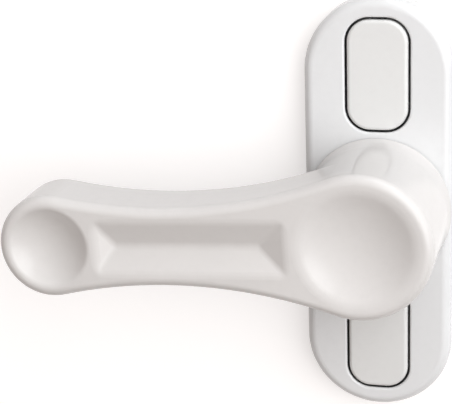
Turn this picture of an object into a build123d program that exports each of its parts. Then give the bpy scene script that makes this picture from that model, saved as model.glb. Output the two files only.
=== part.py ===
"""Child safety window lock: a screwed base plate with a turning bone-shaped handle.

Frame, in millimetres: the origin is the centre of the plate's back face, +Z leaves the
front along the pivot, +Y runs along the plate, and the handle points along -X.
"""
import os
from math import asin, atan2, cos, degrees, radians, sin, sqrt, tan

from build123d import *

# Base plate
plate_length = 80.0
plate_width = 27.7
plate_thickness = 6.0
plate_edge_round = 1.8
plate_wall = 2.3
plate_skin = 1.8

# Screw caps and the pockets that they fill
cap_length = 20.65
cap_width = 11.3
cap_corner = 4.2
cap_gap = 0.45
cap_proud = 0.2
cap_edge_round = 0.7
cap_skin = 1.3
cap_skirt = 1.0
cap_floor_gap = 0.3
cap_notch_width = 3.0
cap_leg_length = 4.6
cap_inset = 14.35
pocket_floor = 2.2
pocket_wall = 1.3
pocket_lip_round = 0.4
screw_hole_radius = 2.25
screw_head_radius = 4.2
screw_hole_land = 1.0

# Fixed spigot that the handle turns on
spigot_radius = 9.0
spigot_height = 8.0
hub_gap = 0.3
spigot_running_gap = 0.4
bush_radius = 4.8
bush_wall = 1.25
bush_flange_radius = 8.2
bush_flange = 1.0
press_clearance = 0.02
running_clearance = 0.05
o_ring_section = 1.5
o_ring_squeeze_gap = 0.1
o_ring_side_gap = 0.2

# Spindle and the friction stack in the hollow back
knurl_radius = 4.2
knurl_length = 9.0
key_flat = 2.6
key_radius = 3.0
tail_radius = 2.5
spindle_top_chamfer = 0.5
spindle_tail_chamfer = 0.15
groove_radius = 2.1
spindle_back_gap = 0.3
friction_washer_thickness = 0.5
washer_radius = 7.6
cam_thickness = 0.9
cam_hub_radius = 5.2
cam_reach = 8.0
cam_half_angle = 15.0
disc_height = 0.6
disc_thickness = 0.35
disc_radius = 5.4
back_washer_thickness = 0.5
back_washer_radius = 4.6
ring_thickness = 0.5
ring_radius = 4.0
ring_mouth = 2.6
stack_gap = 0.05
stop_pin_radius = 1.0
stop_pin_circle = 6.8
stop_pin_depth = 1.2
stop_play = 1.0

# Handle
handle_rest_turn = 2.5
handle_top = 30.0
head_radius = 13.45
flare_radius = 13.85
flare_height = 4.5
arm_reach = 57.1
end_radius = 9.65
waist_half_width = 7.35
head_depth = 12.6
end_depth = 12.9
underside_start = 11.0
underside_end_gap = 11.0
rim_round = 1.6
underside_round = 1.0
head_dimple_radius = 10.45
head_dimple_depth = 2.3
end_dimple_radius = 7.5
end_dimple_depth = 2.7
groove_depth = 2.1
groove_land = 0.8
groove_head_end = 12.75
groove_head_run = 5.3
groove_far_gap = 9.0
groove_far_run = 3.5
groove_crease_round = 2.0
lip_share = 0.9
arm_wall = 2.2
arm_skin = 2.1
arm_rib = 1.3
rib_count = 4

# Buffer pad under the far end
pad_thickness = 3.4
pad_proud = 2.2
pad_side_gap = 0.2
pad_edge_round = 0.8
pad_screw_radius = 1.3
pad_screw_head_radius = 2.6
pad_screw_head = 1.2
pad_screw_length = 8.0
pad_washer_thickness = 0.5
pad_washer_radius = 3.1
pad_post_radius = 2.9
pad_recess = 0.4
pad_screw_slot = 0.6

# Places and heights that follow from the sizes above
cap_offset = plate_length / 2 - cap_inset
underside_end = arm_reach - underside_end_gap
groove_far_end = arm_reach - groove_far_gap
web_low = plate_thickness - plate_skin
spigot_top = plate_thickness + spigot_height
hub_low = plate_thickness + hub_gap
hub_ceiling = spigot_top + bush_flange + stack_gap
friction_low = web_low - friction_washer_thickness
cam_top = friction_low - stack_gap
cam_low = cam_top - cam_thickness
disc_low = cam_low - 2 * disc_height
back_washer_low = disc_low - back_washer_thickness
ring_low = back_washer_low - ring_thickness
bore_radius = bush_radius - bush_wall
spindle_radius = bore_radius - running_clearance
hub_bore_radius = spigot_radius + spigot_running_gap
arm_low_near = handle_top - head_depth
arm_low_far = handle_top - end_depth
groove_half_width = waist_half_width - rim_round - groove_land


def rounded_box(length_x, length_y, corner, low, high):
    """A block with rounded upright corners, centred on the Z axis."""
    face = RectangleRounded(length_x, length_y, corner)
    return Pos(0, 0, low) * extrude(face, high - low)


def disc(radius, low, high, x=0.0, y=0.0):
    """An upright cylinder between two heights."""
    return Pos(x, y, low) * Cylinder(radius, high - low, align=(Align.CENTER, Align.CENTER, Align.MIN))


def washer(outer, inner, low, high, x=0.0, y=0.0):
    """A flat ring between two heights."""
    return disc(outer, low, high, x, y) - disc(inner, low - 1, high + 1, x, y)


def obround(length, width, low, high):
    """A block with half-round ends, long axis on Y."""
    return Pos(0, 0, low) * Rot(0, 0, 90) * extrude(SlotOverall(length, width), high - low)


def waist_curve():
    """Radius of the waist arc and its centre's distance from the end circle.

    The arc touches the head circle and the end circle from outside and leaves the
    arm waist_half_width wide at its narrowest.
    """
    head_step = head_radius - waist_half_width
    end_step = end_radius - waist_half_width
    free = arm_reach**2 - head_step * (head_radius - end_radius)
    ratio = head_step / end_step - 1
    run = 2 * free / (2 * arm_reach + sqrt(4 * arm_reach**2 + 4 * ratio * free))
    radius = (run**2 / end_step - end_radius - waist_half_width) / 2
    return radius, run


def bone_outline(inset=0.0):
    """The handle's plan: a round head, a smaller round end and a waist of two arcs."""
    radius, run = waist_curve()
    centre = Vector(run - arm_reach, radius + waist_half_width)
    head = centre.normalized() * (head_radius - inset)
    end_centre = Vector(-arm_reach, 0)
    end = end_centre + (centre - end_centre).normalized() * (end_radius - inset)
    waist = Vector(centre.X, waist_half_width - inset)
    upper = [head, waist, end]
    lower = [Vector(p.X, -p.Y) for p in upper]
    edges = [
        ThreePointArc(lower[0], Vector(head_radius - inset, 0), upper[0]),
        ThreePointArc(*upper),
        ThreePointArc(upper[2], Vector(inset - arm_reach - end_radius, 0), lower[2]),
        ThreePointArc(*reversed(lower)),
    ]
    return make_face(Wire(edges))


def arm_side_profile(rise=0.0):
    """The arm seen from its side: its underside eases along a spline from the drum to the far end."""
    near, far = arm_low_near + rise, arm_low_far + rise
    over = head_radius + 5
    beyond = -arm_reach - end_radius - 5
    sweep = Spline(
        (-underside_start, 0, near),
        (-underside_end, 0, far),
        tangents=((-1, 0, 0), (-1, 0, 0)),
    )
    top = handle_top + 5
    line = Polyline((-underside_end, 0, far), (beyond, 0, far), (beyond, 0, top), (over, 0, top), (over, 0, near),
                    (-underside_start, 0, near))
    face = make_face(Wire([*sweep.edges(), *line.edges()]))
    width = 2 * (head_radius + end_radius)
    return Pos(0, -width / 2, 0) * extrude(face, width, dir=(0, 1, 0))


def dish(radius, depth, x):
    """A ball that leaves a round dimple of this radius and depth in the top face."""
    ball = (radius**2 + depth**2) / (2 * depth)
    return Pos(x, 0, handle_top - depth + ball) * Sphere(ball)


def hipped_groove():
    """An upturned hipped roof: a V valley between two sloping triangular ends."""
    over = 1.0
    grow = (groove_depth + over) / groove_depth
    half = groove_half_width * grow
    section = Polyline((0, -half, handle_top + over), (0, half, handle_top + over),
                       (0, 0, handle_top - groove_depth), close=True)
    far, near = -groove_far_end, -groove_head_end
    length = near - far + 2 * over * groove_head_run / groove_depth
    bar = Pos(far - over * groove_far_run / groove_depth, 0, 0) * extrude(make_face(section), length, dir=(1, 0, 0))
    for edge_x, run, side in ((near, groove_head_run, 1), (far, groove_far_run, -1)):
        slope = degrees(atan2(groove_depth, run))
        wall = Box(arm_reach, arm_reach, arm_reach, align=(Align.MIN, Align.CENTER, Align.CENTER))
        if side < 0:
            wall = Rot(0, 0, 180) * wall
        bar -= Pos(edge_x, 0, handle_top) * Rot(0, side * (90 - slope), 0) * wall
    return bar


def make_base_plate():
    body = obround(plate_length, plate_width, 0, plate_thickness)
    body = fillet(body.faces().sort_by(Axis.Z)[-1].edges(), plate_edge_round)
    inner_width = plate_width - 2 * plate_wall
    hollow = obround(plate_length - 2 * plate_wall, inner_width, -1, web_low)
    pocket_length = cap_length + 2 * cap_gap
    pocket_width = cap_width + 2 * cap_gap
    pocket_corner = cap_corner + cap_gap
    for side in (1, -1):
        tub = rounded_box(pocket_width + 2 * pocket_wall, pocket_length + 2 * pocket_wall,
                          pocket_corner + pocket_wall, -2, web_low + 1)
        hollow -= Pos(0, side * cap_offset, 0) * tub
    body -= hollow
    for side in (1, -1):
        place = Pos(0, side * cap_offset, 0)
        body -= place * rounded_box(pocket_width, pocket_length, pocket_corner, pocket_floor, plate_thickness + 1)
    mouths = body.faces().sort_by(Axis.Z)[-1].inner_wires()
    body = fillet([edge for mouth in mouths for edge in mouth.edges()], pocket_lip_round)
    body += disc(spigot_radius, web_low, spigot_top)
    for side in (1, -1):
        place = Pos(0, side * cap_offset, 0)
        body -= place * disc(screw_hole_radius, -1, pocket_floor + 1)
        sink = Cone(screw_hole_radius, screw_head_radius, pocket_floor - screw_hole_land,
                    align=(Align.CENTER, Align.CENTER, Align.MIN))
        body -= place * Pos(0, 0, screw_hole_land) * sink
    body -= disc(bush_radius + press_clearance, web_low - 1, spigot_top + 1)
    body -= o_ring_groove()
    for pin_x, pin_y in stop_pin_places():
        body -= disc(stop_pin_radius + press_clearance, web_low - 1, web_low + stop_pin_depth, pin_x, pin_y)
    return body


def o_ring_centre():
    radius = hub_bore_radius - o_ring_squeeze_gap - o_ring_section / 2
    height = plate_thickness + spigot_height / 2
    return radius, height


def o_ring_groove():
    radius, height = o_ring_centre()
    half = o_ring_section / 2 + o_ring_side_gap
    return washer(spigot_radius + 1, radius - o_ring_section / 2 - press_clearance, height - half, height + half)


def make_o_ring():
    radius, height = o_ring_centre()
    return Pos(0, 0, height) * Torus(radius, o_ring_section / 2)


def make_bush():
    sleeve = disc(bush_radius, web_low, spigot_top + bush_flange)
    sleeve += disc(bush_flange_radius, spigot_top, spigot_top + bush_flange)
    return sleeve - disc(bore_radius, web_low - 1, hub_ceiling + 1)


def stop_pin_places():
    """Two pins that the cam's lobe meets at a quarter turn each way."""
    clear = 90 + cam_half_angle + degrees(asin(stop_pin_radius / stop_pin_circle)) + stop_play
    return [(stop_pin_circle * cos(radians(180 + side * clear)), stop_pin_circle * sin(radians(180 + side * clear)))
            for side in (1, -1)]


def make_stop_pin(index):
    pin_x, pin_y = stop_pin_places()[index]
    return disc(stop_pin_radius, cam_low, web_low + stop_pin_depth - stack_gap, pin_x, pin_y)


def make_friction_washer():
    """A plastic washer under the web, notched for the two stop pins."""
    ring = washer(washer_radius, spindle_radius + running_clearance, friction_low, web_low)
    for pin_x, pin_y in stop_pin_places():
        ring -= disc(stop_pin_radius + o_ring_side_gap, friction_low - 1, web_low + 1, pin_x, pin_y)
    return ring


def flats(radius, low, high, clearance=0.0):
    """A round bar with two flats, which keys the cam to the spindle."""
    bar = disc(radius + clearance, low, high)
    return bar & (Pos(0, 0, (low + high) / 2) * Box(2 * (radius + 1), 2 * (key_flat + clearance), high - low))


def make_spindle():
    bar = disc(spindle_radius, cam_top, hub_ceiling)
    bar += disc(knurl_radius, hub_ceiling, hub_ceiling + knurl_length)
    bar += flats(key_radius, cam_low, cam_top)
    bar += disc(tail_radius, spindle_back_gap, cam_low)
    bar -= washer(tail_radius + 1, groove_radius, ring_low, back_washer_low)
    bar = chamfer(bar.faces().sort_by(Axis.Z)[-1].edges(), spindle_top_chamfer)
    return chamfer(bar.faces().sort_by(Axis.Z)[0].edges(), spindle_tail_chamfer)


def make_stop_cam():
    """A disc keyed to the spindle, with one lobe that swings between the stop pins."""
    reach = 2 * cam_reach
    half = reach * tan(radians(cam_half_angle))
    wedge = make_face(Polyline((0, 0), (-reach, half), (-reach, -half), close=True))
    plate = Pos(0, 0, cam_low) * extrude(wedge, cam_thickness) & disc(cam_reach, cam_low, cam_top)
    plate += disc(cam_hub_radius, cam_low, cam_top)
    return plate - flats(key_radius, cam_low - 1, cam_top + 1, press_clearance)


def make_disc_spring(low, upright):
    """A coned washer; two of them stand rim to rim."""
    inner, outer = tail_radius + o_ring_side_gap, disc_radius
    drop = disc_height - disc_thickness
    a, b = (0, drop) if upright else (drop, 0)
    section = Polyline((inner, 0, low + a), (outer, 0, low + b), (outer, 0, low + b + disc_thickness),
                       (inner, 0, low + a + disc_thickness), close=True)
    return revolve(make_face(section), Axis.Z)


def make_back_washer():
    return washer(back_washer_radius, tail_radius + running_clearance, back_washer_low, disc_low)


def make_retaining_ring():
    ring = washer(ring_radius, groove_radius + press_clearance, ring_low, back_washer_low)
    mouth = Box(ring_radius + 1, ring_mouth, 2 * ring_thickness, align=(Align.MIN, Align.CENTER, Align.CENTER))
    return ring - Pos(0, 0, (ring_low + back_washer_low) / 2) * mouth


def lip_round(land, slope):
    """Radius that rounds a lip over most of its flat land, where the top turns down by this slope."""
    return lip_share * land / tan(slope / 2)


def dish_slope(radius, depth):
    """How steeply a dimple's wall leaves the top face."""
    return 2 * atan2(depth, radius)


def soften_top(body):
    """Round the groove's creases, the lips of the dimples and groove, and then the outer rim."""
    low = handle_top - groove_depth - stack_gap
    creases = [edge for edge in body.edges().filter_by(GeomType.LINE) if low < edge.center().Z < handle_top - stack_gap]
    body = fillet(creases, groove_crease_round)
    lips = (
        lip_round(end_radius - rim_round - end_dimple_radius, dish_slope(end_dimple_radius, end_dimple_depth)),
        lip_round(groove_land, atan2(groove_depth, groove_half_width)),
        lip_round(head_radius - rim_round - head_dimple_radius, dish_slope(head_dimple_radius, head_dimple_depth)),
    )
    for index, radius in enumerate(lips):
        hollow = body.faces().sort_by(Axis.Z)[-1].inner_wires().sort_by(Axis.X)[index]
        body = fillet(hollow.edges(), radius)
    return fillet(body.faces().sort_by(Axis.Z)[-1].outer_wire().edges(), rim_round)


def make_hub():
    """The drum under the head, flared in a hollow curve to the plate."""
    spread = flare_radius - head_radius
    curve = (flare_height**2 + spread**2) / (2 * spread)
    turn = asin(flare_height / curve) / 2
    mid = (head_radius + curve * (1 - cos(turn)), 0, hub_low + flare_height - curve * sin(turn))
    edge = ThreePointArc((flare_radius, 0, hub_low), mid, (head_radius, 0, hub_low + flare_height))
    top = arm_low_near + 2 * underside_round
    rest = Polyline((head_radius, 0, hub_low + flare_height), (head_radius, 0, top), (0, 0, top), (0, 0, hub_low),
                    (flare_radius, 0, hub_low))
    return revolve(make_face(Wire([*edge.edges(), *rest.edges()])), Axis.Z)


def arm_hollow():
    """The open underside: a pocket inside the arm's walls, less its ribs and the pad's post."""
    ceiling = handle_top - max(groove_depth, end_dimple_depth) - arm_skin
    depth = ceiling - arm_low_far + 1
    pocket = Pos(0, 0, arm_low_far - 1) * extrude(bone_outline(arm_wall), depth)
    start = head_radius + arm_wall
    length = arm_reach + end_radius
    pocket &= Pos(-start, 0, ceiling) * Box(length, flare_radius * 2, 2 * depth, align=(Align.MAX, Align.CENTER, Align.CENTER))
    ribs = Pos(-start, 0, ceiling) * Box(length, arm_rib, 2 * depth, align=(Align.MAX, Align.CENTER, Align.CENTER))
    step = (arm_reach - start) / rib_count
    for i in range(1, rib_count):
        ribs += Pos(-start - i * step, 0, ceiling) * Box(arm_rib, flare_radius * 2, 2 * depth)
    ribs += disc(pad_post_radius, ceiling - depth, ceiling + 1, -arm_reach)
    ribs &= arm_side_profile(pad_thickness - pad_proud)
    return pocket - ribs


def make_handle():
    """One casting: dished head on a flared drum, hipped arm, dished far end, ribbed underneath."""
    body = extrude(bone_outline(), handle_top) & arm_side_profile()
    low = max(arm_low_near, arm_low_far) + 1
    under = [edge for edge in body.edges() if edge.center().Z < low and edge.geom_type != GeomType.LINE]
    body = fillet(under, underside_round)
    body += make_hub()
    body -= dish(head_dimple_radius, head_dimple_depth, 0)
    body -= dish(end_dimple_radius, end_dimple_depth, -arm_reach)
    body -= hipped_groove()
    body = soften_top(body)
    body -= disc(hub_bore_radius, hub_low - 1, hub_ceiling)
    body -= disc(knurl_radius + press_clearance, hub_ceiling - 1, hub_ceiling + knurl_length + stack_gap)
    body -= arm_hollow()
    screw_top = pad_screw_seat() + pad_screw_length + stack_gap
    return body - disc(pad_screw_radius + press_clearance, arm_low_far, screw_top, -arm_reach)


def pad_screw_seat():
    """Height of the washer's lower face, where the screw head bears."""
    return arm_low_far - pad_proud + pad_screw_head + pad_recess


def make_buffer_pad():
    low = arm_low_far - pad_proud
    pad = disc(end_radius - arm_wall - pad_side_gap, low, low + pad_thickness, -arm_reach)
    pad = fillet(pad.faces().sort_by(Axis.Z)[0].edges(), pad_edge_round)
    washer_top = pad_screw_seat() + pad_washer_thickness
    pad -= disc(pad_washer_radius + pad_side_gap, low - 1, washer_top, -arm_reach)
    return pad - disc(pad_screw_radius + pad_side_gap, low, low + pad_thickness + 1, -arm_reach)


def make_pad_washer():
    seat = pad_screw_seat()
    return washer(pad_washer_radius, pad_screw_radius + running_clearance, seat, seat + pad_washer_thickness, -arm_reach)


def make_pad_screw():
    seat = pad_screw_seat()
    screw = disc(pad_screw_head_radius, seat - pad_screw_head, seat, -arm_reach)
    screw = fillet(screw.faces().sort_by(Axis.Z)[0].edges(), pad_screw_head / 3)
    screw += disc(pad_screw_radius, seat, seat + pad_screw_length, -arm_reach)
    for turn in (0, 90):
        slot = Box(pad_screw_head_radius * 1.1, pad_screw_slot, pad_screw_head)
        screw -= Pos(-arm_reach, 0, seat - pad_screw_head) * Rot(0, 0, turn) * slot
    return screw


def make_screw_cap():
    """A shallow lid on four snap legs, centred on the Z axis."""
    low, high = pocket_floor + cap_floor_gap, plate_thickness + cap_proud
    cap = rounded_box(cap_width, cap_length, cap_corner, low, high)
    cap = fillet(cap.faces().sort_by(Axis.Z)[-1].edges(), cap_edge_round)
    inner = (cap_width - 2 * cap_skirt, cap_length - 2 * cap_skirt, cap_corner - cap_skirt)
    cap -= rounded_box(*inner, low - 1, high - cap_skin)
    under_skin = Pos(0, 0, high - cap_skin)
    deep = high - cap_skin - low
    hang = (Align.CENTER, Align.CENTER, Align.MAX)
    cap -= under_skin * Box(cap_width + 2, cap_length - 2 * cap_leg_length, deep, align=hang)
    return cap - under_skin * Box(cap_notch_width, cap_length + 2, deep, align=hang)


def turned(shape):
    """The handle's own pieces stand a little past square, as it was left."""
    return Rot(0, 0, handle_rest_turn) * shape


def build():
    fixed = {
        "base_plate": make_base_plate(),
        "spindle_bush": make_bush(),
        "hub_o_ring": make_o_ring(),
        "friction_washer": make_friction_washer(),
        "stop_pin_a": make_stop_pin(0),
        "stop_pin_b": make_stop_pin(1),
    }
    turning = {
        "handle": make_handle(),
        "spindle": make_spindle(),
        "stop_cam": make_stop_cam(),
        "disc_spring_front": make_disc_spring(cam_low - disc_height, True),
        "disc_spring_back": make_disc_spring(disc_low, False),
        "back_washer": make_back_washer(),
        "retaining_ring": make_retaining_ring(),
        "buffer_pad": make_buffer_pad(),
        "pad_washer": make_pad_washer(),
        "pad_screw": make_pad_screw(),
    }
    caps = {
        "upper_screw_cap": Pos(0, cap_offset, 0) * make_screw_cap(),
        "lower_screw_cap": Pos(0, -cap_offset, 0) * make_screw_cap(),
    }
    return {**fixed, **{name: turned(shape) for name, shape in turning.items()}, **caps}


os.makedirs("parts", exist_ok=True)
for name, shape in build().items():
    export_step(shape, f"parts/{name}.step")
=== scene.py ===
# %% [markdown]
# # A child safety window lock
# This lesson dresses a small white lock that is screwed to a window frame. Its base plate lies flat, two snap
# caps hide the screws, and a bone-shaped handle turns on a flared drum until it blocks the sash. The solids
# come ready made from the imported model, so the lesson is about light, finish and small marks.

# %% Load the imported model
from math import cos, pi, radians, sin

import bpy
from mathutils import Matrix, Vector


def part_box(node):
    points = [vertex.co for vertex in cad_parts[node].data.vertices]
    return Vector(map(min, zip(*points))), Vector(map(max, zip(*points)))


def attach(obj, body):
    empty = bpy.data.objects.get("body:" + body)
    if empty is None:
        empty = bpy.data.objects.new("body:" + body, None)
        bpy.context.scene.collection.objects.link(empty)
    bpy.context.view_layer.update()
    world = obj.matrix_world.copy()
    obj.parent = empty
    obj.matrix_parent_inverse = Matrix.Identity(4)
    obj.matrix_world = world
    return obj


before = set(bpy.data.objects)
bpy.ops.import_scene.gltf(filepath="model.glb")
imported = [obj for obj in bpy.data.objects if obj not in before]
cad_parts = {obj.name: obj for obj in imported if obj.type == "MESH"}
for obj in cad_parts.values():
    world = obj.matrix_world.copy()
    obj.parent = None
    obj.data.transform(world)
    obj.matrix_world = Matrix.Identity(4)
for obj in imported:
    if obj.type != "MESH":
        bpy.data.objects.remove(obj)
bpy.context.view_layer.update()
MM = 0.001

# %% [markdown]
# ## The camera
# The picture was taken from about a foot away and from above the plate's upper end, which is why the raised
# head looks large and stands below the middle of the plate. A tracking constraint could aim a camera at the
# lock, but it takes away the slight roll, so three turns and one place say where the camera is. The focal
# length is counted in pixels first, because a picture's outlines give it in that unit, and then becomes
# millimetres of lens on a 36 mm sensor.

# %% Camera
IMAGE_WIDTH = 452
SENSOR_WIDTH = 36
focal_pixels = 1596.3
camera_place = Vector((44.36, 91.23, 289.27)) * MM
yaw, pitch, roll = 0.25451, -0.30166, -0.03341

lens = bpy.data.cameras.new("camera")
lens.sensor_width = SENSOR_WIDTH
lens.lens = SENSOR_WIDTH * focal_pixels / IMAGE_WIDTH
lens.clip_start = 0.01
camera = bpy.data.objects.new("camera", lens)
turn = Matrix.Rotation(yaw, 4, "Y") @ Matrix.Rotation(pitch, 4, "X") @ Matrix.Rotation(roll, 4, "Z")
camera.matrix_world = Matrix.Translation(camera_place) @ turn
bpy.context.collection.objects.link(camera)
bpy.context.scene.camera = camera
bpy.context.scene.view_settings.view_transform = "Standard"
print("lens", round(lens.lens, 1), "mm")

# %% [markdown]
# ## Small tools for node trees
# The sky, the paper, every finish and the repeated details are node trees, and all are made of the same few
# steps: add a node, do one sum, spread a range, blend two colours. Such trees are often drawn by hand in the
# node editor. Here each step is a short function, so that the cells below say what a surface is made of and
# not how its nodes are wired.

# %% Helpers for any node tree
def add_node(tree, kind, *inputs, **settings):
    """Add a node, set its properties, and fill its inputs from pairs of a name and a value or socket."""
    made = tree.nodes.new(kind)
    for name, value in settings.items():
        setattr(made, name, value)
    for name, value in inputs:
        if isinstance(value, bpy.types.NodeSocket):
            tree.links.new(value, made.inputs[name])
        else:
            made.inputs[name].default_value = value
    return made


def reckon(tree, operation, *values):
    """One Math node; each value is a number or a socket."""
    return add_node(tree, "ShaderNodeMath", *enumerate(values), operation=operation).outputs[0]


def split(tree, vector):
    return add_node(tree, "ShaderNodeSeparateXYZ", (0, vector)).outputs


def spread(tree, value, low, high, to_low, to_high):
    """Carry low to high onto to_low to to_high, and stay level beyond them."""
    return add_node(tree, "ShaderNodeMapRange", ("Value", value), ("From Min", low), ("From Max", high),
                    ("To Min", to_low), ("To Max", to_high)).outputs["Result"]


def blend_colours(tree, factor, first, second):
    """Blend two colours; the first may also be a socket."""
    if not isinstance(first, bpy.types.NodeSocket):
        first = (*first, 1)
    return add_node(tree, "ShaderNodeMix", ("Factor", factor), ("A", first), ("B", (*second, 1)),
                    data_type="RGBA").outputs["Result"]


# %% [markdown]
# ## Sky and lamps
# White on white only reads when the light has a direction. A photograph of a studio wrapped round the scene
# could light it, but three plain sources do it too and say what each one is for. The sky is cool and bright
# above the plate's upper end and fades to a warm, dim tone low behind its lower end. A broad key lamp stands
# close by on the right, half way up, and gives the dishes and the groove a light and a dark side. A cool
# window, low beyond the upper end, fills the drum and the wall of the arm.

# %% Sky
SKY_BRIGHT_SIDE = (0.14, 0.68, 0.72)
SKY_DIM, SKY_BRIGHT = 0.03, 0.65
WARM_TINT, COOL_TINT = (1.0, 0.79, 0.68), (0.93, 0.965, 1.0)

world = bpy.data.worlds.new("studio")
bpy.context.scene.world = world
world.use_nodes = True
sky_tree = world.node_tree
sky = sky_tree.nodes["Background"]
direction = add_node(sky_tree, "ShaderNodeTexCoord").outputs["Generated"]
towards = add_node(sky_tree, "ShaderNodeVectorMath", (0, direction), (1, SKY_BRIGHT_SIDE),
                   operation="DOT_PRODUCT").outputs["Value"]
fade = spread(sky_tree, towards, -1.0, 1.0, SKY_DIM, SKY_BRIGHT)
sky_tree.links.new(blend_colours(sky_tree, fade, WARM_TINT, COOL_TINT), sky.inputs["Color"])
sky_tree.links.new(fade, sky.inputs["Strength"])
print("sky strength from", SKY_DIM, "to", SKY_BRIGHT)


# %% Lamps
def around(azimuth, height, distance):
    """A place at this compass angle from +X and this angle above the floor."""
    flat = distance * cos(radians(height))
    return flat * cos(radians(azimuth)), flat * sin(radians(azimuth)), distance * sin(radians(height))


def soft_lamp(name, place, size, power, colour):
    """A round area lamp, placed and sized in metres, that looks at the lock."""
    light = bpy.data.lights.new(name, "AREA")
    light.shape = "DISK"
    light.size = size
    light.energy = power
    light.color = colour
    lamp = bpy.data.objects.new(name, light)
    lamp.location = place
    lamp.rotation_euler = (-Vector(place)).to_track_quat("-Z", "Y").to_euler()
    lamp.visible_camera = False
    bpy.context.collection.objects.link(lamp)
    return lamp


key_place = around(azimuth=23, height=45, distance=0.5)
window_place = around(azimuth=70, height=12, distance=0.9)
key = soft_lamp("key_lamp", key_place, size=0.62, power=2.28, colour=(0.965, 0.985, 1.0))
window = soft_lamp("window_light", window_place, size=0.65, power=2.9, colour=(0.91, 0.96, 1.0))
print("lamps:", key.name, window.name)

# %% [markdown]
# ## White paper
# The lock lies on white paper. More light would make plain paper white, but it would burn out the lock too.
# So the paper is grey where it lights the lock, and lighter with a faint glow where the camera or a mirror
# image sees it. It comes out white far from the lock and keeps the soft shadow near it.

# %% Paper floor
HALF_PAPER = 1.5
PAPER_THAT_LIGHTS, PAPER_THAT_IS_SEEN = (0.36, 0.355, 0.355), (0.74, 0.725, 0.715)
PAPER_GLOW, GLOW_TINT = 0.47, (1.0, 0.99, 0.99, 1)


def paper():
    material = bpy.data.materials.new("white_paper")
    material.use_nodes = True
    tree = material.node_tree
    tree.nodes.clear()
    path = add_node(tree, "ShaderNodeLightPath").outputs
    seen = reckon(tree, "MAXIMUM", path["Is Camera Ray"], path["Is Glossy Ray"])
    seen = reckon(tree, "MAXIMUM", seen, path["Is Transmission Ray"])
    shade = blend_colours(tree, seen, PAPER_THAT_LIGHTS, PAPER_THAT_IS_SEEN)
    matt = add_node(tree, "ShaderNodeBsdfDiffuse", ("Color", shade))
    glow = add_node(tree, "ShaderNodeEmission", ("Color", GLOW_TINT),
                    ("Strength", reckon(tree, "MULTIPLY", seen, PAPER_GLOW)))
    both = add_node(tree, "ShaderNodeAddShader", (0, matt.outputs[0]), (1, glow.outputs[0]))
    add_node(tree, "ShaderNodeOutputMaterial", ("Surface", both.outputs[0]))
    return material


def make_floor():
    mesh = bpy.data.meshes.new("floor")
    corners = [(HALF_PAPER * x, HALF_PAPER * y, 0) for x, y in ((-1, -1), (1, -1), (1, 1), (-1, 1))]
    mesh.from_pydata(corners, [], [(0, 1, 2, 3)])
    mesh.materials.append(paper())
    floor = bpy.data.objects.new("floor", mesh)
    bpy.context.collection.objects.link(floor)
    return floor


floor = make_floor()
print(floor.name, 2 * HALF_PAPER, "m wide")

# %% [markdown]
# ## Gloss coat and moulded caps
# The handle and the plate wear a glossy white coat, and the caps are a duller moulding. One flat colour would
# look like a drawing, and painted images would need unwrapping, so each finish is built up from noise on the
# lock's own coordinates: a slow drift of tone, a fine mottle, sparse specks of dust under the coat, an uneven
# sheen and a faint orange peel. The gloss matters, because the drum mirrors the gap round the upper cap.

# %% Helpers for finishes
def parts_of(material):
    """A material's tree, its shader, and the place of each point on the lock."""
    tree = material.node_tree
    return tree, tree.nodes["Principled BSDF"], tree.nodes["Texture Coordinate"].outputs["Object"]


def new_finish(name):
    material = bpy.data.materials.new(name)
    material.use_nodes = True
    add_node(material.node_tree, "ShaderNodeTexCoord")
    return material, *parts_of(material)


def noise(tree, place, scale, detail=3.0, roughness=0.5):
    return add_node(tree, "ShaderNodeTexNoise", ("Vector", place), ("Scale", scale), ("Detail", detail),
                    ("Roughness", roughness)).outputs["Fac"]


def specks(tree, place, scale, radius, share):
    """A mask of sparse round specks: this share of the cells holds one."""
    cells = add_node(tree, "ShaderNodeTexVoronoi", ("Vector", place), ("Scale", scale)).outputs
    near = spread(tree, cells["Distance"], radius * scale, 0.5 * radius * scale, 0, 1)
    lot = split(tree, cells["Color"])[0]
    return reckon(tree, "MULTIPLY", near, reckon(tree, "LESS_THAN", lot, share))


def recolour(tree, shader, mask, colour):
    """Lay another colour over what the shader's base colour has so far."""
    socket = shader.inputs["Base Color"]
    tree.links.new(blend_colours(tree, mask, socket.links[0].from_socket, colour), socket)


def relief(tree, shader, height, strength, distance):
    bump = add_node(tree, "ShaderNodeBump", ("Height", height), ("Strength", strength), ("Distance", distance))
    tree.links.new(bump.outputs["Normal"], shader.inputs["Normal"])


def times(share, colour):
    return tuple(share * c for c in colour)


# %% Coats
def coat(name, light, dark, rough, peel):
    """Gloss coat: slow drift of tone, fine mottle, sparse specks, uneven sheen and orange peel."""
    material, tree, shader, place = new_finish(name)
    drift = spread(tree, noise(tree, place, scale=38, detail=2), 0.35, 0.65, 0, 1)
    tree.links.new(blend_colours(tree, drift, light, dark), shader.inputs["Base Color"])
    mottle = spread(tree, noise(tree, place, scale=650, detail=3, roughness=0.6), 0.45, 0.75, 0, 0.35)
    recolour(tree, shader, mottle, times(0.96, dark))
    dust = specks(tree, place, scale=240, radius=0.11 * MM, share=0.12)
    recolour(tree, shader, dust, times(0.72, dark))
    sheen = spread(tree, noise(tree, place, scale=160, detail=2), 0.3, 0.7, rough - 0.03, rough + 0.04)
    tree.links.new(sheen, shader.inputs["Roughness"])
    swell = reckon(tree, "MULTIPLY", noise(tree, place, scale=230, detail=1), 2.5)
    ripple = reckon(tree, "ADD", noise(tree, place, scale=900, detail=2), swell)
    relief(tree, shader, ripple, strength=peel, distance=0.04 * MM)
    return material


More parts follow.
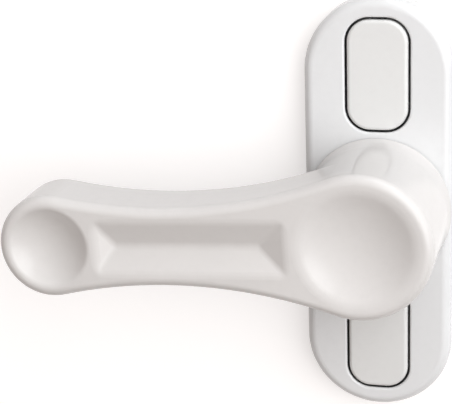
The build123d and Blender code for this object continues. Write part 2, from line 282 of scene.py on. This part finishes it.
handle_coat = coat("handle_powder_coat", light=(0.735, 0.719, 0.705), dark=(0.71, 0.695, 0.681),
                   rough=0.15, peel=0.04)
plate_coat = coat("plate_powder_coat", light=(0.81, 0.82, 0.825), dark=(0.785, 0.795, 0.80),
                  rough=0.16, peel=0.04)
cap_plastic = coat("cap_plastic", light=(0.79, 0.795, 0.785), dark=(0.77, 0.775, 0.765),
                   rough=0.32, peel=0.06)
print("coats:", handle_coat.name, plate_coat.name, cap_plastic.name)

# %% [markdown]
# ## Where the coat is worn or thin, and shade painted in the pockets
# Fingers rub the top of the handle. Inside the two cap pockets the plate's colour is painted near-black as
# shade, to darken the gap round each cap, and only a mist of coat reaches the hollow back. More materials on
# chosen faces could show that, but the meshes stay as they came, so masks worked out from the coordinates do
# it. A pocket's mask is its cap's outline, a box with round corners, made a little larger. The mask of the back
# is the plate's own long outline less its wall.

# %% Worn top of the handle
WEAR_STARTS, WEAR_FULL = 24.5 * MM, 27.5 * MM


def worn_top(material, more):
    """The gloss fades towards the top in uneven patches."""
    tree, shader, place = parts_of(material)
    height = spread(tree, split(tree, place)[2], WEAR_STARTS, WEAR_FULL, 0, more)
    patches = spread(tree, noise(tree, place, scale=90, detail=4, roughness=0.6), 0.3, 0.7, 0.92, 1)
    sheen = shader.inputs["Roughness"].links[0].from_socket
    tree.links.new(reckon(tree, "MULTIPLY_ADD", height, patches, sheen), shader.inputs["Roughness"])


worn_top(handle_coat, more=0.07)
print("wear from", WEAR_STARTS / MM, "mm up")


# %% Painted shade in the cap pockets
CAP_CORNER, GAP = 4.2 * MM, 0.9 * MM
# Near-black painted shade for the pocket walls round the caps.
PAINTED_POCKET_SHADE = (0.05, 0.05, 0.052)


def beyond(tree, value, centre, half):
    """How far a coordinate lies outside centre - half to centre + half."""
    away = reckon(tree, "ABSOLUTE", reckon(tree, "SUBTRACT", value, centre))
    return reckon(tree, "MAXIMUM", reckon(tree, "SUBTRACT", away, half), 0.0)


def length_of(tree, across, along):
    square = reckon(tree, "MULTIPLY", along, along)
    return reckon(tree, "SQRT", reckon(tree, "MULTIPLY_ADD", across, across, square))


def paint_pocket_shade(material, cap_boxes):
    """Below the lip of each cap pocket the colour is painted near-black, as shade in the gap round the cap."""
    tree, shader, place = parts_of(material)
    x, y, z = split(tree, place)
    masks = []
    for low, high in cap_boxes:
        across = beyond(tree, x, 0.0, high[0] - CAP_CORNER)
        along = beyond(tree, y, (low[1] + high[1]) / 2, (high[1] - low[1]) / 2 - CAP_CORNER)
        masks.append(reckon(tree, "LESS_THAN", length_of(tree, across, along), CAP_CORNER + GAP))
    below_lip = spread(tree, z, 5.3 * MM, 5.6 * MM, 1, 0)
    above_back = spread(tree, z, 0.1 * MM, 0.4 * MM, 0, 1)
    depth = reckon(tree, "MULTIPLY", below_lip, above_back)
    mask = reckon(tree, "MULTIPLY", reckon(tree, "ADD", *masks), depth)
    # Paints near-black shade on the pocket walls below the lip, to darken the gap round each cap.
    recolour(tree, shader, mask, PAINTED_POCKET_SHADE)


paint_pocket_shade(plate_coat, [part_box("upper_screw_cap"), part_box("lower_screw_cap")])
print("pockets dark to", GAP / MM, "mm beyond the caps")


# %% The bare back
PLATE_LENGTH, PLATE_WIDTH, PLATE_WALL = 80 * MM, 27.7 * MM, 2.3 * MM
HOLLOW_CEILING = 4.2 * MM
MISTED_CASTING, MORE_MATT = (0.36, 0.365, 0.375), 0.35


def bare_back(material):
    """Inside the plate's hollow back only a thin mist of coat lands on the grey, matt casting."""
    tree, shader, place = parts_of(material)
    x, y, z = split(tree, place)
    out = length_of(tree, x, beyond(tree, y, 0.0, (PLATE_LENGTH - PLATE_WIDTH) / 2))
    edge = PLATE_WIDTH / 2
    inside = spread(tree, out, edge - PLATE_WALL, edge - 0.6 * PLATE_WALL, 1, 0)
    low = spread(tree, z, HOLLOW_CEILING + 0.05 * MM, HOLLOW_CEILING + 0.3 * MM, 1, 0)
    mist = spread(tree, noise(tree, place, scale=420, detail=4, roughness=0.65), 0.35, 0.62, 1, 0.55)
    mask = reckon(tree, "MULTIPLY", reckon(tree, "MULTIPLY", inside, low), mist)
    recolour(tree, shader, mask, MISTED_CASTING)
    sheen = shader.inputs["Roughness"].links[0].from_socket
    dull = reckon(tree, "ADD", sheen, reckon(tree, "MULTIPLY", mask, MORE_MATT))
    tree.links.new(dull, shader.inputs["Roughness"])


bare_back(plate_coat)
print("coat misted below", HOLLOW_CEILING / MM, "mm")

# %% [markdown]
# ## The hidden works
# The spindle, pins, washers and ring are turned or stamped steel with a thin zinc plating, which is why they
# carry fine rings round their axis. Rings cut into the meshes would cost many faces for a hundredth of a
# millimetre, so a wave pattern that counts its distance from the Z axis draws them as relief on every turned
# face at once, and is moved to the pad screw's own axis for that screw. The coned springs are darker, because
# spring steel is only oiled. The bush and washer are acetal, which lets a little light in, and the O-ring and
# pad are rubber with a grey bloom.

# %% Plated steel and spring steel
ZINC, OILED_STEEL = (0.66, 0.67, 0.69), (0.3, 0.29, 0.29)


def steel(name, tint, rough, centre=(0.0, 0.0), ring=0.12 * MM):
    """Steel with turning rings round the Z axis, cloudy plating and fine wear."""
    material, tree, shader, place = new_finish(name)
    shader.inputs["Metallic"].default_value = 1.0
    axis = add_node(tree, "ShaderNodeMapping", ("Vector", place), ("Location", (-centre[0], -centre[1], 0)))
    rings = add_node(tree, "ShaderNodeTexWave", ("Vector", axis.outputs["Vector"]),
                     ("Scale", 2 * pi / (20 * ring)), ("Distortion", 0.6), ("Detail", 2.0),
                     wave_type="RINGS", rings_direction="Z")
    cloud = spread(tree, noise(tree, place, scale=220, detail=3), 0.3, 0.7, 0, 1)
    tree.links.new(blend_colours(tree, cloud, tint, times(0.82, tint)), shader.inputs["Base Color"])
    pits = specks(tree, place, scale=900, radius=0.06 * MM, share=0.1)
    recolour(tree, shader, pits, times(0.5, tint))
    smear = spread(tree, noise(tree, place, scale=600, detail=2), 0.3, 0.7, rough - 0.06, rough + 0.08)
    tree.links.new(smear, shader.inputs["Roughness"])
    grain = reckon(tree, "MULTIPLY", noise(tree, place, scale=2600, detail=2), 0.4)
    turned = reckon(tree, "ADD", rings.outputs["Fac"], grain)
    relief(tree, shader, turned, strength=0.12, distance=0.01 * MM)
    return material


low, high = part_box("pad_screw")
pad_centre = ((low[0] + high[0]) / 2, (low[1] + high[1]) / 2)
zinc = steel("zinc_plated_steel", ZINC, rough=0.35)
pad_zinc = steel("zinc_plated_pad_screw", ZINC, rough=0.35, centre=pad_centre)
spring_steel = steel("oiled_spring_steel", OILED_STEEL, rough=0.36, ring=0.2 * MM)
print("pad screw stands at mm", [round(v / MM, 2) for v in pad_centre])


# %% Acetal and rubber
def acetal_finish(name, light, dark):
    """Milky bearing plastic: soft inside, with faint flow marks."""
    material, tree, shader, place = new_finish(name)
    flow = spread(tree, noise(tree, place, scale=150, detail=4, roughness=0.6), 0.35, 0.65, 0, 1)
    tree.links.new(blend_colours(tree, flow, light, dark), shader.inputs["Base Color"])
    shader.inputs["Subsurface Weight"].default_value = 0.15
    shader.inputs["Subsurface Radius"].default_value = (0.9 * MM, 0.8 * MM, 0.7 * MM)
    sheen = spread(tree, noise(tree, place, scale=500, detail=2), 0.3, 0.7, 0.36, 0.5)
    tree.links.new(sheen, shader.inputs["Roughness"])
    relief(tree, shader, noise(tree, place, scale=1500, detail=3), strength=0.1, distance=0.02 * MM)
    return material


def rubber_finish(name, dark, bloom):
    """Moulded rubber: matt, pitted, with patches of grey bloom."""
    material, tree, shader, place = new_finish(name)
    patches = spread(tree, noise(tree, place, scale=180, detail=5, roughness=0.7), 0.45, 0.7, 0, 1)
    tree.links.new(blend_colours(tree, patches, dark, bloom), shader.inputs["Base Color"])
    chalk = specks(tree, place, scale=1100, radius=0.08 * MM, share=0.25)
    recolour(tree, shader, chalk, times(1.8, bloom))
    sheen = spread(tree, noise(tree, place, scale=700, detail=2), 0.3, 0.7, 0.5, 0.72)
    tree.links.new(sheen, shader.inputs["Roughness"])
    pitted = noise(tree, place, scale=3000, detail=3, roughness=0.7)
    relief(tree, shader, pitted, strength=0.35, distance=0.03 * MM)
    return material


acetal = acetal_finish("natural_acetal", light=(0.78, 0.76, 0.69), dark=(0.72, 0.70, 0.62))
nitrile = rubber_finish("black_nitrile", dark=(0.022, 0.022, 0.024), bloom=(0.05, 0.05, 0.052))
pad_rubber = rubber_finish("grey_pad_rubber", dark=(0.12, 0.12, 0.125), bloom=(0.2, 0.2, 0.2))
print("soft finishes:", acetal.name, nitrile.name, pad_rubber.name)

# %% [markdown]
# ## Which piece wears which finish
# The solids came with plain stand-in materials. A line of code for each could swap them, but a table of names
# reads more easily, and every piece that it leaves out is plated steel.

# %% Give each node its finish
finishes = {
    "base_plate": plate_coat,
    "handle": handle_coat,
    "upper_screw_cap": cap_plastic,
    "lower_screw_cap": cap_plastic,
    "spindle_bush": acetal,
    "friction_washer": acetal,
    "hub_o_ring": nitrile,
    "buffer_pad": pad_rubber,
    "pad_washer": pad_zinc,
    "pad_screw": pad_zinc,
    "disc_spring_front": spring_steel,
    "disc_spring_back": spring_steel,
    "retaining_ring": spring_steel,
}
for name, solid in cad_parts.items():
    solid.data.materials.clear()
    solid.data.materials.append(finishes.get(name, zinc))
print("finished nodes:", len(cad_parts))

# %% [markdown]
# ## Moulded details that repeat
# Two small details are left, under the arm and behind the plate, and both repeat by a rule. One could be
# modelled and copied by hand, but then every change means copying again. So a small Geometry Nodes tree sets
# one shape on a ring or a grid of points. Its inputs are the sizes, and what comes out is kept as a mesh.

# %% Helpers to build and run such a tree
CENTRE = ("Centre X", "Centre Y", "Centre Z")


def new_tree(name, sizes, whole):
    """A Geometry Nodes tree with one named number input for each size."""
    tree = bpy.data.node_groups.new(name, "GeometryNodeTree")
    for size in sizes:
        kind = "NodeSocketInt" if size in whole else "NodeSocketFloat"
        tree.interface.new_socket(size, in_out="INPUT", socket_type=kind)
    tree.interface.new_socket("Geometry", in_out="OUTPUT", socket_type="NodeSocketGeometry")
    return tree, tree.nodes.new("NodeGroupInput").outputs


def vector_of(tree, x, y, z):
    return add_node(tree, "ShaderNodeCombineXYZ", ("X", x), ("Y", y), ("Z", z)).outputs[0]


def move(tree, geometry, how, vector):
    """Translate or turn the geometry by a vector."""
    return add_node(tree, "GeometryNodeTransform", ("Geometry", geometry), (how, vector)).outputs[0]


def end_tree(tree, instances, material):
    real = add_node(tree, "GeometryNodeRealizeInstances", ("Geometry", instances))
    painted = add_node(tree, "GeometryNodeSetMaterial", ("Geometry", real.outputs[0]), ("Material", material))
    add_node(tree, "NodeGroupOutput", ("Geometry", painted.outputs[0]))


def node_piece(name, tree, sizes):
    """Run the tree once with these sizes and keep the result as a plain mesh."""
    host = bpy.data.objects.new(name + "_host", bpy.data.meshes.new(name + "_host"))
    bpy.context.collection.objects.link(host)
    modifier = host.modifiers.new("nodes", "NODES")
    modifier.node_group = tree
    for item in tree.interface.items_tree:
        if item.in_out == "INPUT":
            modifier[item.identifier] = sizes[item.name]
    evaluated = host.evaluated_get(bpy.context.evaluated_depsgraph_get())
    piece = bpy.data.objects.new(name, bpy.data.meshes.new_from_object(evaluated))
    host.modifiers.remove(modifier)
    bpy.data.objects.remove(host)
    bpy.context.collection.objects.link(piece)
    print(name, len(piece.data.polygons), "faces")
    return piece


# %% [markdown]
# ## Grip ribs on the buffer pad
# The rubber pad under the far end meets the sash, and short ribs round its screw give it grip. Each is a long
# grain, half sunk in the rubber. A ring of points carries them, and each turns to point away from the middle.

# %% Grip ribs
def grip_rib_tree(material):
    sizes = ("Count", "Ring radius", "Rib length", "Rib width", "Rib height", *CENTRE)
    tree, size = new_tree("grip_rib_ring", sizes, whole=("Count",))
    ring = add_node(tree, "GeometryNodeMeshCircle", ("Vertices", size["Count"]),
                    ("Radius", size["Ring radius"]))
    ball = add_node(tree, "GeometryNodeMeshUVSphere", ("Segments", 16), ("Rings", 8), ("Radius", 0.5))
    here = add_node(tree, "GeometryNodeInputPosition").outputs[0]
    aim = add_node(tree, "FunctionNodeAlignRotationToVector", ("Vector", here), axis="X")
    stretch = vector_of(tree, size["Rib length"], size["Rib width"], size["Rib height"])
    ribs = add_node(tree, "GeometryNodeInstanceOnPoints", ("Points", ring.outputs[0]),
                    ("Instance", ball.outputs[0]), ("Rotation", aim.outputs[0]), ("Scale", stretch))
    centre = vector_of(tree, *(size[name] for name in CENTRE))
    end_tree(tree, move(tree, ribs.outputs[0], "Translation", centre), material)
    return tree


pad_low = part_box("buffer_pad")[0][2]
grip_ribs = node_piece("pad_grip_ribs", grip_rib_tree(pad_rubber), {
    "Count": 28,
    "Ring radius": 4.95 * MM,
    "Rib length": 2.5 * MM,
    "Rib width": 0.5 * MM,
    "Rib height": 0.5 * MM,
    "Centre X": pad_centre[0],
    "Centre Y": pad_centre[1],
    "Centre Z": pad_low,
})
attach(grip_ribs, "handle_body")

# %% [markdown]
# ## Ejector pin marks
# Pins push a casting out of its mould and leave flat round marks where nobody looks: in the plate's hollow
# back and in the arm's hollow. One tree makes both sets, because only their sizes and places differ. The
# handle was left a little past square, so its marks are turned with it about the lock's axis.

# %% Ejector pin marks
HANDLE_REST_TURN = radians(2.5)
ARM_CEILING = 25.2 * MM
MARK_SUNK = 0.05 * MM


def span_of(tree, count, step):
    """The reach of a row, which has one step fewer than it has points."""
    return reckon(tree, "MULTIPLY", reckon(tree, "SUBTRACT", count, 1.0), step)


def pin_mark_tree(material):
    sizes = ("Columns", "Rows", "Step X", "Step Y", "Mark radius", "Mark height", *CENTRE, "Turn")
    tree, size = new_tree("pin_mark_grid", sizes, whole=("Columns", "Rows"))
    grid = add_node(tree, "GeometryNodeMeshGrid", ("Vertices X", size["Columns"]), ("Vertices Y", size["Rows"]),
                    ("Size X", span_of(tree, size["Columns"], size["Step X"])),
                    ("Size Y", span_of(tree, size["Rows"], size["Step Y"])))
    mark = add_node(tree, "GeometryNodeMeshCylinder", ("Vertices", 32), ("Radius", size["Mark radius"]),
                    ("Depth", size["Mark height"]))
    marks = add_node(tree, "GeometryNodeInstanceOnPoints", ("Points", grid.outputs[0]),
                     ("Instance", mark.outputs[0]))
    centre = vector_of(tree, *(size[name] for name in CENTRE))
    placed = move(tree, marks.outputs[0], "Translation", centre)
    end_tree(tree, move(tree, placed, "Rotation", vector_of(tree, 0.0, 0.0, size["Turn"])), material)
    return tree


plate_marks = node_piece("plate_pin_marks", pin_mark_tree(plate_coat), {
    "Columns": 2,
    "Rows": 2,
    "Step X": 18.4 * MM,
    "Step Y": 21.6 * MM,
    "Mark radius": 1.1 * MM,
    "Mark height": 0.4 * MM,
    "Centre X": 0.0,
    "Centre Y": 0.0,
    "Centre Z": HOLLOW_CEILING + MARK_SUNK,
    "Turn": 0.0,
})
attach(plate_marks, "base")
arm_marks = node_piece("arm_pin_marks", pin_mark_tree(handle_coat), {
    "Columns": 3,
    "Rows": 2,
    "Step X": 10.36 * MM,
    "Step Y": 6.0 * MM,
    "Mark radius": 1.2 * MM,
    "Mark height": 0.4 * MM,
    "Centre X": -31.2 * MM,
    "Centre Y": 0.0,
    "Centre Z": ARM_CEILING + MARK_SUNK,
    "Turn": HANDLE_REST_TURN,
})
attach(arm_marks, "handle_body")
